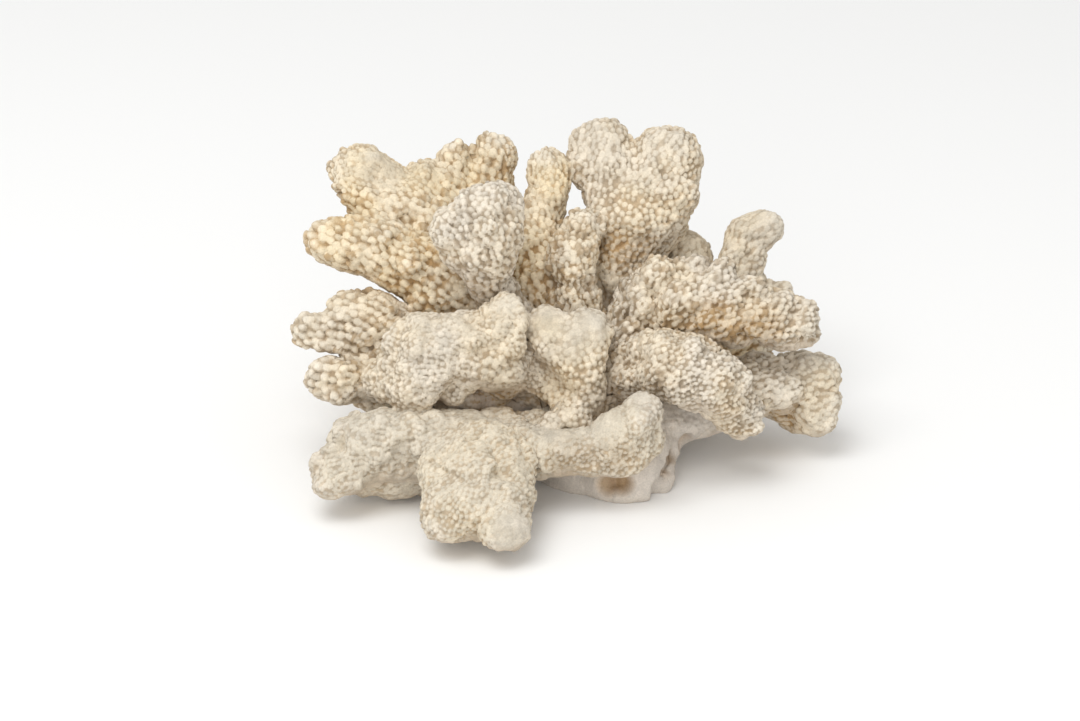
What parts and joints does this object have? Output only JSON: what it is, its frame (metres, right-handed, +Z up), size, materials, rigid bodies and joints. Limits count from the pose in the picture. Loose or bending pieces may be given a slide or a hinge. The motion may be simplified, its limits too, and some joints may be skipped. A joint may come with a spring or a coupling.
{
  "type": "branching coral",
  "caption": "Bleached branching coral: stubby, knobbed branches covered in small bumps spread from one holdfast with a flat cut underneath.",
  "frame": {"origin": "on the flat cut under the holdfast, near the middle of its front half", "axes": "+Z up, away from the cut; the open front of the colony, which the picture shows, faces -Y; +X to the right in that view, along the colony's longest side"},
  "size_m": [0.2264, 0.1939, 0.128],
  "materials": {
    "coral": "dry bleached coral skeleton, cream on the bumps and tan between them, fully matte",
    "worn_coral": "bleached coral with its bumps worn low, pale grey cream, matte",
    "holdfast_chalk": "bare, broken and chalky coral skeleton, pinkish beige, matte"
  },
  "bodies": {
    "root": {"holdfast": "holdfast_chalk", "left_front_lobe": "coral", "left_hand": "coral", "upper_left_palm": "coral", "middle_knob": "coral", "tall_finger": "coral", "crown_branch": "coral", "crown_spur": "coral", "right_back_knob": "coral", "right_finger": "coral", "right_arm": "coral", "right_low_hand": "coral", "right_front_knob": "coral", "centre_knob": "coral", "front_arm": "worn_coral", "front_foot": "worn_coral", "front_finger": "worn_coral", "back_left_branch": "coral", "back_low_branch": "coral", "back_right_branch": "coral", "back_branch": "coral"}
  },
  "joints": []
}
